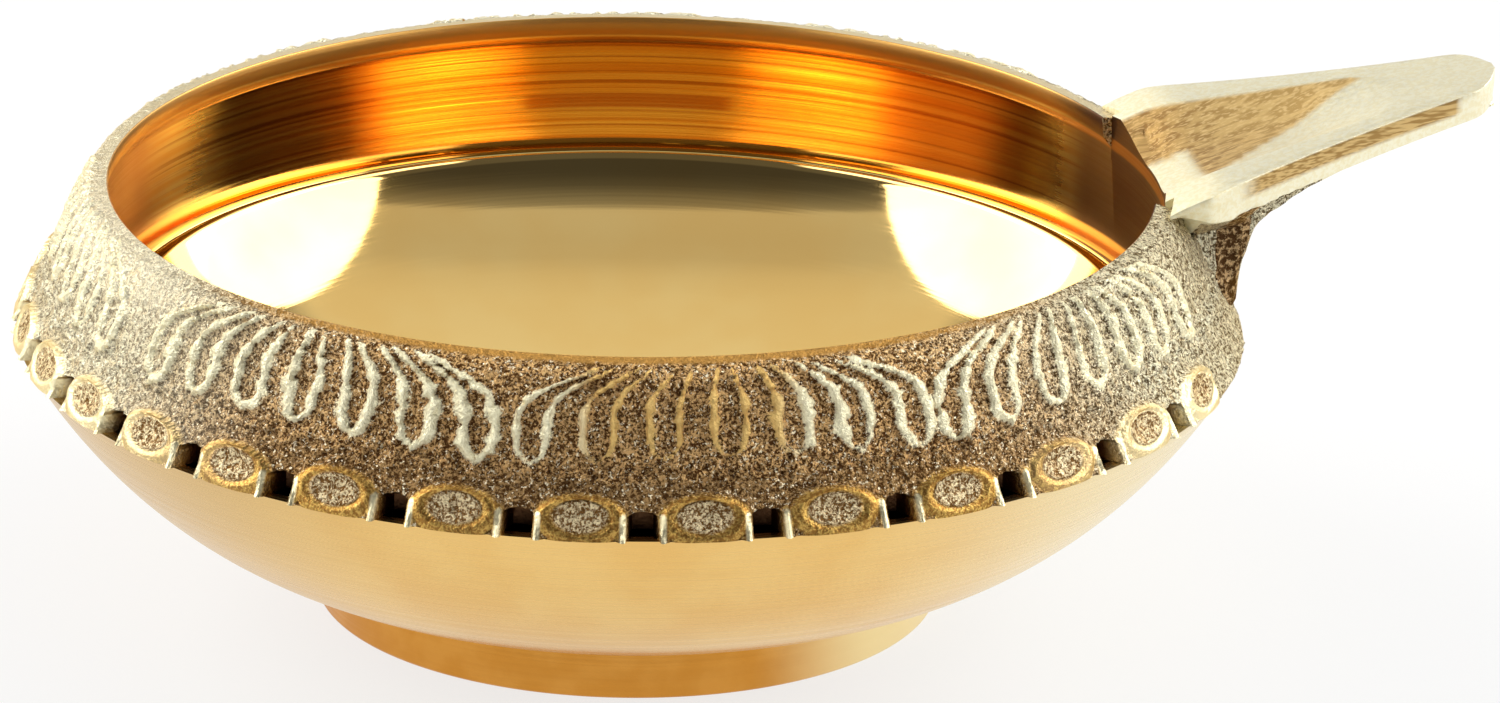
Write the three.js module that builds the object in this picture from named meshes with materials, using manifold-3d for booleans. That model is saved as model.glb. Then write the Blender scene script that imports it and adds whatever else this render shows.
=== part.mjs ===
// A small brass oil lamp: a turned bowl on a foot ring, with a cast collar of palmettes and beads
// round its upper half and a pointed spout that carries the wick. Millimetres, +Z up. The spout
// points along +X, and the origin is on the ground under the middle of the whole lamp.

import * as THREE from "three";
import { mergeVertices } from "three/addons/utils/BufferGeometryUtils.js";
import Module from "manifold-3d";

const wasm = await Module();
wasm.setup();

// Foot ring
const footRadius = 21.2;
const footHeight = 3.7;
const footWall = 3.7;
const footChamfer = 0.4;

// Bowl
const seatShoulder = 0.8;         // the flat under the bowl is this much wider than the foot ring
const seatBoss = 0.8;             // disc under the bowl that drops into the foot ring
const bossClearance = 0.3;
const bowlHeight = 15.3;          // from the foot ring up to the joint, where the collar sits
const jointStandout = 6.5;        // the bowl's outer edge lies this far outside the dish
const bowlFullness = 12.0;        // how far the outside bellies out beyond the foot seat
const bowlLift = 2.8;             // height of that belly above the foot seat
const dishRadius = 35.0;
const dishFloor = 2.7;            // thickness of metal at the middle
const dishFlat = 17.0;            // the dish stays nearly flat out to here
const dishCorner = 6.0;           // the turn up to the edge starts this far inside it
const dishTurn = 5.4;             // and this high above the floor
const spigotHeight = 0.55;        // thin ring on the bowl that the collar is centred on
const spigotWall = 1.1;
const spigotClearance = 0.3;

// Collar
const collarHeight = 10.36;       // from the joint up to the rim
const rimStandout = 1.65;         // the rim's outer edge lies this far outside the dish
const lipWall = 1.35;             // width of the rim, seen from above
const lipDepth = 1.5;
const lipUndercut = 0.7;
const flareTopPull = 3.0;         // height of the rim end of the flare that runs nearly straight down
const flareTopSpread = 1.5;
const flareFootPull = 4.2;        // height of the bead end of the flare that turns outward
const flareFootSpread = 2.6;

// Palmettes on the collar
const palmettePlaces = [47, 89, 132]; // degrees from the spout, alike on both sides; one more is behind
const petalsPerPalmette = 7;
const petalStep = 5.75;           // degrees from one petal to the next
const petalTop = 0.5;             // depth of the tips below the rim
const petalLength = 5.2;
const petalDrop = 0.8;            // the outer petals reach this much lower
const petalGather = 0.45;         // how far the petals draw in towards the top
const petalStraight = 0.62;       // they hang straight below this share of their length
const petalWidth = 2.1;
const petalSwell = [0.12, 0.67];  // the part of a sine that a petal's width follows
const petalClosing = 0.25;        // share of its length in which a petal closes to its round end
const ridgeHeight = 0.5;
const ridgeWidthTop = 0.7;
const ridgeWidthFoot = 1.3;
const ridgeRoot = 0.3;
const ridgeSteps = 4;
const ridgeEasing = 1.6;          // its sections crowd towards the round end

// Beads on the collar
// Where the sockets between the beads lie, in degrees from the spout, alike on both sides
const socketPlaces = [37.1, 49.1, 61.6, 73.5, 86.1, 97.3, 108.5, 120.2, 131.8, 142.6, 153.6, 164.0, 174.5];
const endBeadStep = 5.8;          // from the first socket back to the bead next to the spout, in degrees
const beadStandout = 0.7;         // the beads stand this far outside the joint
const beadWidth = 6.4;
const beadHeight = 3.2;
const beadRelief = 1.1;
const beadDimple = 0.5;
const beadDimpleShare = 0.5;      // the dimple's width, as a share of the bead's
const beadCrownShare = 0.78;      // the same for its crown
const beadRoot = 1.2;
const socketWidth = 2.2;
const socketHeight = 3.0;
const socketDepth = 1.1;

// Spout
const spoutRootOut = 0.35;        // the spout proper starts this far outside the rim
const spoutLength = 22.2;         // from there to the tip
const spoutRootHalfWidth = 12.4;
const spoutTipHalfWidth = 4.2;
const noseLength = 2.8;
const noseEndHalfWidth = 1.6;
const noseRounding = 2.2;
const rootFlare = 0.4;            // extra half-width where the spout runs into the rim
const rootFlareLength = 3.5;
const rootFlareStart = 1.5;       // it starts this far inside the spout's root
const landRise = 1.2;             // height of the spout's top above the rim, at its root
const landSlope = 0.21;
const landEase = 0.8;             // the top dips by this at the mouth, to meet the rim
const landEaseLength = 4.2;
const landEaseEnd = 2.0;          // the dip ends this far outside the root
const edgeThickness = 1.05;       // upright edge of the spout
const edgeAtRim = 0.7;            // the edge's share of that where it meets the rim
const hullBelow = 1.4;            // the edge's lower, leaning part, at the root
const hullFade = 0.25;            // share of it that is lost towards the tip
const hullLean = 0.3;
const hullShoulder = 0.6;
const hullBlend = [3.0, 2.0];     // the hull's full depth is reached over this run about the root
const gussetHalfWidth = 5.8;
const gussetFoot = 1.4;           // height of the gusset's lower end above the joint
const gussetProud = 0.5;          // it stands this much outside the collar there
const gussetBlunt = 3.6;          // extra half-width at the foot of the gusset
const gussetUpright = 6.9;        // height to which the gusset stands nearly upright
const gussetLean = 0.35;          // it leans outward by this on the way up
const gussetBend = 8.6;           // the keel turns from the gusset to the spout this high up
const gussetToe = 1.3;            // and this far outside the gusset's foot
const gussetFade = [1.5, 4.0];    // keel depths between which the gusset takes its full width
const flankHeights = [0.3, 0.7];  // the flank's two corners, as shares of the way down to the keel
const flankTaper = 0.92;
const keelDepth = 2.6;            // from the spout's top to its keel, at the tip
const keelHalfWidth = 0.8;
const tongueHalfWidth = 9.1;
const tongueDepth = 3.1;
const notchClearance = 0.3;

// Trough in the spout
const troughHalfWidth = 7.8;
const troughEndHalfWidth = 3.4;
const troughLength = 17.0;
const troughPoint = 3.2;          // the last stretch, where the trough closes to its point
const troughDepth = 1.9;
const troughEndDepth = 1.0;
const troughPointRise = 0.6;      // share of its depth that is lost in the point
const troughPointClosing = 0.98;  // the same for the square of its width
const troughBank = [0.72, 0.66];  // width and depth, as shares, where bank and floor meet
const troughFloor = 0.3;          // half-width of its flat floor, as a share

// Facets
const turnedSegments = 52;
const collarSegments = 56;
const outsideSteps = 6;
const insideSteps = 7;
const flareSteps = 5;
const beadSegments = 8;
const archSegments = 4;
const hullSteps = 8;
const hullEasing = 1.3;           // its sections crowd towards the root
const hullEvenStart = 1.0;        // and start this far outside it, after three closer ones
const noseSections = [0.45, 0.8, 1];
const troughSections = [0.35, 0.7, 1];
const troughPointSections = [0.5, 0.85, 1];
const cutterReach = 10.0;         // cutting blocks end this far above the rim

// Values that follow from those above
const footTop = footHeight;
const footBore = footRadius - footWall;
const seatRadius = footRadius + seatShoulder;
const jointHeight = footTop + bowlHeight;
const jointRadius = dishRadius + jointStandout;
const bowlUnderside = footTop - seatBoss;
const dishBottom = bowlUnderside + dishFloor;
const collarBore = dishRadius + spigotWall + spigotClearance;
const rimHeight = jointHeight + collarHeight;
const rimOuterRadius = dishRadius + rimStandout;
const lipRadius = rimOuterRadius - lipWall;
const beadReach = jointRadius + beadStandout;
const spoutRootDistance = rimOuterRadius + spoutRootOut;
const spoutReach = spoutRootDistance + spoutLength;
const notchFloor = rimHeight - tongueDepth;
const above = rimHeight + cutterReach;
const lampOffset = (spoutReach - beadReach) / 2;
const palmetteAngles = [...palmettePlaces, 180, ...palmettePlaces.map((place) => 360 - place)]
  .map(THREE.MathUtils.degToRad);
const socketAngles = [...socketPlaces, ...socketPlaces.map((place) => 360 - place).reverse()]
  .map(THREE.MathUtils.degToRad);
const endBeads = [socketPlaces[0] - endBeadStep, 360 - socketPlaces[0] + endBeadStep]
  .map(THREE.MathUtils.degToRad);

// Turning a geometry into a solid that can be cut and joined, and back

function toSolid(geometry) {
  const bare = geometry.clone();
  bare.deleteAttribute("normal");
  bare.deleteAttribute("uv");
  const merged = mergeVertices(bare, 1e-4);
  const corners = merged.index.array;
  const kept = [];
  for (let i = 0; i < corners.length; i += 3) {
    const [a, b, c] = [corners[i], corners[i + 1], corners[i + 2]];
    if (a !== b && b !== c && c !== a) kept.push(a, b, c);
  }
  return new wasm.Manifold(new wasm.Mesh({
    numProp: 3,
    vertProperties: new Float32Array(merged.attributes.position.array),
    triVerts: new Uint32Array(kept),
  }));
}

function toGeometry(solid) {
  const mesh = solid.getMesh();
  const geometry = new THREE.BufferGeometry();
  geometry.setAttribute("position", new THREE.BufferAttribute(new Float32Array(mesh.vertProperties), 3));
  geometry.setIndex(new THREE.BufferAttribute(new Uint32Array(mesh.triVerts), 1));
  const faceted = geometry.toNonIndexed();
  faceted.computeVertexNormals();
  return faceted;
}

// A turned piece from its profile, given as radius and height, anticlockwise

function turned(profile, segments) {
  const points = profile.map(([radius, height]) => new THREE.Vector2(radius, height));
  const geometry = new THREE.LatheGeometry(points, segments);
  geometry.rotateX(Math.PI / 2);
  return geometry;
}

function block(xMin, xMax, yMin, yMax, zMin, zMax) {
  const geometry = new THREE.BoxGeometry(xMax - xMin, yMax - yMin, zMax - zMin);
  geometry.translate((xMin + xMax) / 2, (yMin + yMax) / 2, (zMin + zMax) / 2);
  return toSolid(geometry);
}

// A closed skin over a row of outlines that all have the same number of points

function loft(outlines) {
  const count = outlines[0].length;
  const positions = outlines.flat().flatMap((point) => [point.x, point.y, point.z]);
  const index = [];
  for (let row = 0; row < outlines.length - 1; row += 1) {
    for (let i = 0; i < count; i += 1) {
      const a = row * count + i;
      const b = row * count + ((i + 1) % count);
      index.push(a, b, b + count, a, b + count, a + count);
    }
  }
  const closeEnd = (row, flipped) => {
    const middle = new THREE.Vector3();
    outlines[row].forEach((point) => middle.addScaledVector(point, 1 / count));
    const centre = positions.length / 3;
    positions.push(middle.x, middle.y, middle.z);
    for (let i = 0; i < count; i += 1) {
      const a = row * count + i;
      const b = row * count + ((i + 1) % count);
      index.push(...(flipped ? [a, b, centre] : [b, a, centre]));
    }
  };
  closeEnd(0, false);
  closeEnd(outlines.length - 1, true);
  const geometry = new THREE.BufferGeometry();
  geometry.setAttribute("position", new THREE.Float32BufferAttribute(positions, 3));
  geometry.setIndex(index);
  return geometry;
}

function pairs(curve, steps) {
  return curve.getPoints(steps).map((point) => [point.x, point.y]);
}

// Foot ring

function footRing() {
  return turned([
    [footBore, 0],
    [footRadius - footChamfer, 0],
    [footRadius, footChamfer],
    [footRadius, footTop - footChamfer],
    [footRadius - footChamfer, footTop],
    [footBore, footTop],
    [footBore, 0],
  ], turnedSegments);
}

// Bowl: the outside bellies from the foot seat to the joint, and the inside is a shallow dish

function bowl() {
  const outside = new THREE.QuadraticBezierCurve(
    new THREE.Vector2(seatRadius, footTop),
    new THREE.Vector2(seatRadius + bowlFullness, footTop + bowlLift),
    new THREE.Vector2(jointRadius, jointHeight),
  );
  const spigotTop = jointHeight + spigotHeight;
  const inside = new THREE.CubicBezierCurve(
    new THREE.Vector2(dishRadius, spigotTop),
    new THREE.Vector2(dishRadius - dishCorner, dishBottom + dishTurn),
    new THREE.Vector2(dishFlat, dishBottom),
    new THREE.Vector2(0, dishBottom),
  );
  const boss = footBore - bossClearance;
  return turned([
    [0, bowlUnderside],
    [boss, bowlUnderside],
    [boss, footTop],
    ...pairs(outside, outsideSteps),
    [dishRadius + spigotWall, jointHeight],
    [dishRadius + spigotWall, spigotTop],
    ...pairs(inside, insideSteps),
  ], turnedSegments);
}

// The collar's flare, from the rim down to the beads, and a place on it with its outward normal

const flare = new THREE.CubicBezierCurve(
  new THREE.Vector2(rimOuterRadius, rimHeight),
  new THREE.Vector2(rimOuterRadius + flareTopSpread, rimHeight - flareTopPull),
  new THREE.Vector2(jointRadius - flareFootSpread, jointHeight + flareFootPull),
  new THREE.Vector2(jointRadius, jointHeight),
);

function flareAt(height) {
  let low = 0;
  let high = 1;
  for (let i = 0; i < 20; i += 1) {
    const middle = (low + high) / 2;
    if (flare.getPoint(middle).y > height) low = middle;
    else high = middle;
  }
  const tangent = flare.getTangent(low);
  return { radius: flare.getPoint(low).x, normal: new THREE.Vector2(-tangent.y, tangent.x) };
}

function onFlare(angle, height) {
  const { radius, normal } = flareAt(height);
  const out = new THREE.Vector3(Math.cos(angle), Math.sin(angle), 0);
  return {
    point: out.clone().multiplyScalar(radius).setZ(height),
    normal: out.clone().multiplyScalar(normal.x).setZ(normal.y),
  };
}

// One edge of a petal: a ridge that runs down the flare from the tip of the palmette

function petalEdge(petal, side) {
  const half = (petalsPerPalmette - 1) / 2;
  const spread = THREE.MathUtils.degToRad(petalStep);
  const top = rimHeight - petalTop;
  const length = petalLength + petalDrop * (petal / half) ** 2;
  const path = (t) => {
    const hang = 1 - petalGather * Math.max(0, 1 - t / petalStraight) ** 2;
    const swell = Math.sin(Math.PI * THREE.MathUtils.lerp(...petalSwell, t));
    const closing = Math.max(0, 1 - (1 - t) / petalClosing);
    const closed = Math.sqrt(Math.max(0, 1 - closing ** 2));
    const height = top - length * t;
    const halfWidth = (petalWidth / 2) * swell * closed;
    return onFlare(spread * petal * hang + (side * halfWidth) / flareAt(height).radius, height);
  };
  const outlines = [];
  for (let step = 0; step <= ridgeSteps; step += 1) {
    const t = 1 - (1 - step / ridgeSteps) ** ridgeEasing;
    const here = path(t);
    const nearby = 0.02;
    const ahead = path(Math.min(t + nearby, 1)).point.sub(path(Math.max(t - nearby, 0)).point);
    const across = ahead.cross(here.normal).normalize();
    const width = THREE.MathUtils.lerp(ridgeWidthTop, ridgeWidthFoot, t);
    outlines.push([
      here.point.clone().addScaledVector(here.normal, ridgeHeight),
      here.point.clone().addScaledVector(here.normal, -ridgeRoot).addScaledVector(across, width / 2),
      here.point.clone().addScaledVector(here.normal, -ridgeRoot).addScaledVector(across, -width / 2),
    ]);
  }
  return toSolid(loft(outlines));
}

function palmette() {
  const half = (petalsPerPalmette - 1) / 2;
  let solid = null;
  for (let petal = -half; petal <= half; petal += 1) {
    for (const side of [-1, 1]) {
      const edge = petalEdge(petal, side);
      solid = solid ? solid.add(edge) : edge;
    }
  }
  return solid;
}

// One bead, an oval button with a dimple, and one of the half-round sockets between the beads

function bead() {
  const crown = beadReach - beadRelief;
  const button = new THREE.LatheGeometry([
    new THREE.Vector2(0, -beadRoot),
    new THREE.Vector2(1, -beadRoot),
    new THREE.Vector2(beadCrownShare, beadRelief),
    new THREE.Vector2(beadDimpleShare, beadRelief),
    new THREE.Vector2(0, beadRelief - beadDimple),
  ], beadSegments);
  button.rotateZ(-Math.PI / 2);
  button.scale(1, beadHeight / 2, beadWidth / 2);
  button.rotateX(Math.PI / 2);
  button.translate(crown, 0, jointHeight + beadHeight / 2);
  return toSolid(button);
}

function socket() {
  const half = socketWidth / 2;
  const arch = new THREE.Shape();
  arch.moveTo(-half, -half);
  arch.lineTo(half, -half);
  arch.lineTo(half, socketHeight - half);
  arch.absarc(0, socketHeight - half, half, 0, Math.PI, false);
  const geometry = new THREE.ExtrudeGeometry(arch, {
    depth: 2 * beadRelief + socketDepth,
    bevelEnabled: false,
    curveSegments: archSegments,
  });
  geometry.rotateX(Math.PI / 2);
  geometry.rotateZ(Math.PI / 2);
  geometry.translate(jointRadius - socketDepth, 0, jointHeight);
  return toSolid(geometry);
}

function turnedAbout(solid, angle) {
  return solid.rotate([0, 0, THREE.MathUtils.radToDeg(angle)]);
}

// Everything inside the collar's outer face, and the space straight above it

function insideFlare(clearance) {
  return toSolid(turned([
    [0, 0],
    [jointRadius + clearance, 0],
    ...pairs(flare, flareSteps).reverse().map(([radius, height]) => [radius + clearance, height]),
    [rimOuterRadius + clearance, above],
    [0, above],
  ], collarSegments));
}

// Collar: a turned ring with its lip, the palmettes, the beads and sockets, and the spout's notch

function collarRing() {
  return toSolid(turned([
    [collarBore, jointHeight],
    ...pairs(flare, flareSteps).reverse(),
    [lipRadius, rimHeight],
    [lipRadius, rimHeight - lipDepth],
    [collarBore, rimHeight - lipDepth - lipUndercut],
    [collarBore, jointHeight],
  ], collarSegments));
}

function ornamentCollar() {
  let solid = collarRing();
  const fan = palmette();
  for (const angle of palmetteAngles) solid = solid.add(turnedAbout(fan, angle));
  const button = bead();
  const hollow = socket();
  const between = socketAngles.slice(1).map((angle, i) => (angle + socketAngles[i]) / 2);
  for (const angle of [...between, ...endBeads]) solid = solid.add(turnedAbout(button, angle));
  for (const angle of socketAngles) solid = solid.subtract(turnedAbout(hollow, angle));
  const notch = tongueHalfWidth + notchClearance;
  solid = solid.subtract(block(0, spoutReach, -notch, notch, notchFloor, above));
  return solid.subtract(block(-spoutReach, spoutReach, -spoutReach, spoutReach, 0, jointHeight));
}

// Spout: sections across it, each with the flat top, the thin edges, the hull and the keel

const noseStart = spoutReach - noseLength;

function landHeight(distance) {
  const ease = Math.max(0, spoutRootDistance + landEaseEnd - distance) / landEaseLength;
  const flat = rimHeight + landRise + landSlope * (distance - spoutRootDistance);
  return flat - landEase * ease * ease;
}

function alongSpout(distance) {
  return THREE.MathUtils.clamp((distance - spoutRootDistance) / (noseStart - spoutRootDistance), 0, 1);
}

function halfWidth(distance) {
  const taper = THREE.MathUtils.lerp(spoutRootHalfWidth, spoutTipHalfWidth, alongSpout(distance));
  const flared = Math.max(0, 1 - (distance - spoutRootDistance + rootFlareStart) / rootFlareLength);
  const nose = Math.max(0, distance - noseStart) / noseLength;
  const narrowed = (spoutTipHalfWidth - noseEndHalfWidth) * nose ** noseRounding;
  return taper + rootFlare * flared * flared - narrowed;
}

const keelFoot = flareAt(jointHeight + gussetFoot).radius + gussetProud;
const keel = new THREE.CubicBezierCurve(
  new THREE.Vector2(keelFoot, jointHeight + gussetFoot),
  new THREE.Vector2(keelFoot + gussetLean, jointHeight + gussetUpright),
  new THREE.Vector2(keelFoot + gussetToe, jointHeight + gussetBend),
  new THREE.Vector2(spoutReach, landHeight(spoutReach) - keelDepth),
);

function keelHeight(distance) {
  let low = 0;
  let high = 1;
  for (let i = 0; i < 20; i += 1) {
    const middle = (low + high) / 2;
    if (keel.getPoint(middle).x < distance) low = middle;
    else high = middle;
  }
  return keel.getPoint(low).y;
}

function spoutSection(distance) {
  const top = landHeight(distance);
  const half = halfWidth(distance);
  const floor = keelHeight(distance);
  const full = THREE.MathUtils.smoothstep(distance, spoutRootDistance - hullBlend[0],
    spoutRootDistance + hullBlend[1]);
  const edge = top - edgeThickness * THREE.MathUtils.lerp(edgeAtRim, 1, full);
  const lower = edge - hullBelow * full * (1 - hullFade * alongSpout(distance));
  const nearGusset = THREE.MathUtils.clamp((lower - floor - gussetFade[0]) / gussetFade[1], 0, 1);
  const flank = THREE.MathUtils.lerp(hullShoulder * half, gussetHalfWidth, nearGusset);
  const right = [
    [half, top],
    [half, edge],
    [half - hullLean, lower],
    [flank, THREE.MathUtils.lerp(lower, floor, flankHeights[0])],
    [flank * flankTaper, THREE.MathUtils.lerp(lower, floor, flankHeights[1])],
    [keelHalfWidth + gussetBlunt * nearGusset, floor],
  ];
  const outline = [...right.map(([y, z]) => [-y, z]), ...right.reverse()];
  return outline.map(([y, z]) => new THREE.Vector3(distance, y, z));
}

function troughSection(distance, end) {
  const along = alongSpout(distance) * (noseStart - spoutRootDistance) / (end - spoutRootDistance);
  const point = Math.max(0, distance - (end - troughPoint)) / troughPoint;
  const closing = Math.sqrt(1 - troughPointClosing * point);
  const half = THREE.MathUtils.lerp(troughHalfWidth, troughEndHalfWidth, along) * closing;
  const depth = THREE.MathUtils.lerp(troughDepth, troughEndDepth, along) * (1 - troughPointRise * point);
  const top = landHeight(distance);
  const right = [
    [half, top + cutterReach],
    [half, top],
    [troughBank[0] * half, top - troughBank[1] * depth],
    [troughFloor * half, top - depth],
  ];
  const outline = [...right.map(([y, z]) => [-y, z]), ...right.reverse()];
  return outline.map(([y, z]) => new THREE.Vector3(distance, y, z));
}

function spout() {
  const root = Math.sqrt(rimOuterRadius ** 2 - (spoutRootHalfWidth + rootFlare) ** 2);
  const straight = spoutRootDistance + hullEvenStart;
  const stations = [0, 1 / 3, 2 / 3].map((share) => THREE.MathUtils.lerp(root, straight, share));
  for (let step = 0; step <= hullSteps; step += 1) {
    stations.push(THREE.MathUtils.lerp(straight, noseStart, (step / hullSteps) ** hullEasing));
  }
  for (const share of noseSections) stations.push(noseStart + share * noseLength);
  let solid = toSolid(loft(stations.map(spoutSection)));

  const bore = toSolid(turned([[0, 0], [collarBore, 0], [collarBore, above], [0, above]], collarSegments));
  const notchSpace = block(0, spoutReach, -tongueHalfWidth, tongueHalfWidth, notchFloor, above);
  const tongue = insideFlare(0).intersect(block(0, spoutReach, -tongueHalfWidth, tongueHalfWidth,
    notchFloor, rimHeight));
  solid = solid.subtract(insideFlare(notchClearance).subtract(notchSpace)).add(tongue).subtract(bore);

  const end = collarBore + troughLength;
  const cuts = [root - tongueDepth, straight];
  for (const share of troughSections) cuts.push(THREE.MathUtils.lerp(straight, end - troughPoint, share));
  for (const share of troughPointSections) cuts.push(end - troughPoint * (1 - share));
  return solid.subtract(toSolid(loft(cuts.map((distance) => troughSection(distance, end)))));
}

// Materials and assembly

const finishes = {
  polished: new THREE.MeshStandardMaterial({ color: 0xd9b36a, roughness: 0.18, metalness: 1 }),
  cast: new THREE.MeshStandardMaterial({ color: 0xb98f4a, roughness: 0.5, metalness: 1 }),
  filed: new THREE.MeshStandardMaterial({ color: 0xcfae6e, roughness: 0.35, metalness: 1 }),
  satin: new THREE.MeshStandardMaterial({ color: 0xc99a3c, roughness: 0.4, metalness: 1 }),
};

function piece(name, geometry, material) {
  const mesh = new THREE.Mesh(geometry, material.clone());
  mesh.name = name;
  return mesh;
}

const lamp = new THREE.Group();
lamp.position.x = -lampOffset;
lamp.add(piece("foot_ring", footRing(), finishes.satin));
lamp.add(piece("bowl", bowl(), finishes.polished));
lamp.add(piece("ornament_collar", toGeometry(ornamentCollar()), finishes.cast));
lamp.add(piece("spout", toGeometry(spout()), finishes.filed));

const part = new THREE.Group();
part.add(lamp);

export default part;
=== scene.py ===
# A small brass oil lamp: a turned bowl on a foot ring, with a cast collar of petal fans and beads and
# a filed spout for the wick. Each section below makes one piece of it, from the foot upwards, and the
# floor, light and camera come last. Sizes are in millimetres, and the meshes are in metres.

import math

import bmesh
import bpy
import numpy as np
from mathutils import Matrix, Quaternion, Vector, noise


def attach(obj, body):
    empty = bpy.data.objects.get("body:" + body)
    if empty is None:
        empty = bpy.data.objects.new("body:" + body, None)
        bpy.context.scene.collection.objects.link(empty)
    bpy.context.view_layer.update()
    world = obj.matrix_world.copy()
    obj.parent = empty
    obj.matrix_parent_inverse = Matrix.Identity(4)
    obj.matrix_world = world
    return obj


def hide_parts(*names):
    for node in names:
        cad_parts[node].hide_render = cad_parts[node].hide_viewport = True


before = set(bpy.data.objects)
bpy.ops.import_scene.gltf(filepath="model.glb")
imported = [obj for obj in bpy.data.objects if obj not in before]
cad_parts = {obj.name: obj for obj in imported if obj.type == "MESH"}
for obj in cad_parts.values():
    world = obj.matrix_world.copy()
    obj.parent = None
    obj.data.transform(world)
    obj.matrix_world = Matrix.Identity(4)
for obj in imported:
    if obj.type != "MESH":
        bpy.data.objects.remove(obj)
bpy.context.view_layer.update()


# Foot ring: a turned ring of brass that the lamp stands on, brazed under the bowl.
# Its outer face is satin, both of its edges are broken, and a painted highlight runs round the top one.

mm = 0.001
axis_x = -8.5
foot_radius = 21.2
foot_bore = 17.5
foot_height = 3.7
foot_edge = 0.35
bore_edge = 0.25
foot_dark_gold = (0.66, 0.29, 0.045, 1)
foot_light_gold = (0.71, 0.33, 0.06, 1)
foot_painted_light_gold = (0.97, 0.78, 0.40, 1)
foot_top_painted_highlight = (0.98, 0.82, 0.46, 1)


def arc(radius, height, size, start, end, steps=5):
    """Points round a broken edge, as radius and height, from one angle to the other in degrees."""
    turns = [math.radians(start + (end - start) * step / steps) for step in range(steps + 1)]
    return [(radius + size * math.cos(turn), height + size * math.sin(turn)) for turn in turns]


def turn_on_lathe(name, profile, steps):
    """Draws a profile edge by edge and turns it once round the bowl's axis."""
    bpy.ops.object.select_all(action="DESELECT")
    bpy.ops.mesh.primitive_plane_add(size=mm, location=(axis_x * mm, 0, 0))
    piece = bpy.context.object
    piece.name = name
    bpy.ops.object.mode_set(mode="EDIT")
    bpy.ops.mesh.select_mode(type="VERT")
    bpy.ops.mesh.select_all(action="SELECT")
    bpy.ops.mesh.merge(type="CENTER")
    radius, height = profile[0]
    bpy.ops.transform.translate(value=(radius * mm, 0, height * mm))
    for (r0, z0), (r1, z1) in zip(profile, profile[1:]):
        bpy.ops.mesh.extrude_vertices_move(
            TRANSFORM_OT_translate={"value": ((r1 - r0) * mm, 0, (z1 - z0) * mm)}
        )
    bpy.ops.object.mode_set(mode="OBJECT")
    turning = piece.modifiers.new("turning", "SCREW")
    turning.angle = math.tau
    turning.steps = turning.render_steps = steps
    turning.use_merge_vertices = True
    turning.merge_threshold = 0.001 * mm
    bpy.ops.object.modifier_apply(modifier=turning.name)
    bpy.ops.object.mode_set(mode="EDIT")
    bpy.ops.mesh.select_all(action="SELECT")
    bpy.ops.mesh.remove_doubles(threshold=0.002 * mm)
    bpy.ops.mesh.normals_make_consistent(inside=False)
    bpy.ops.object.mode_set(mode="OBJECT")
    bpy.ops.object.transform_apply(location=True, rotation=True, scale=True)
    return piece


def smooth_faces(piece, angle):
    """Shades the piece smooth but for edges that turn by more than this angle, in degrees."""
    bpy.ops.object.select_all(action="DESELECT")
    piece.select_set(True)
    bpy.context.view_layer.objects.active = piece
    bpy.ops.object.shade_smooth_by_angle(angle=math.radians(angle))


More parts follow.
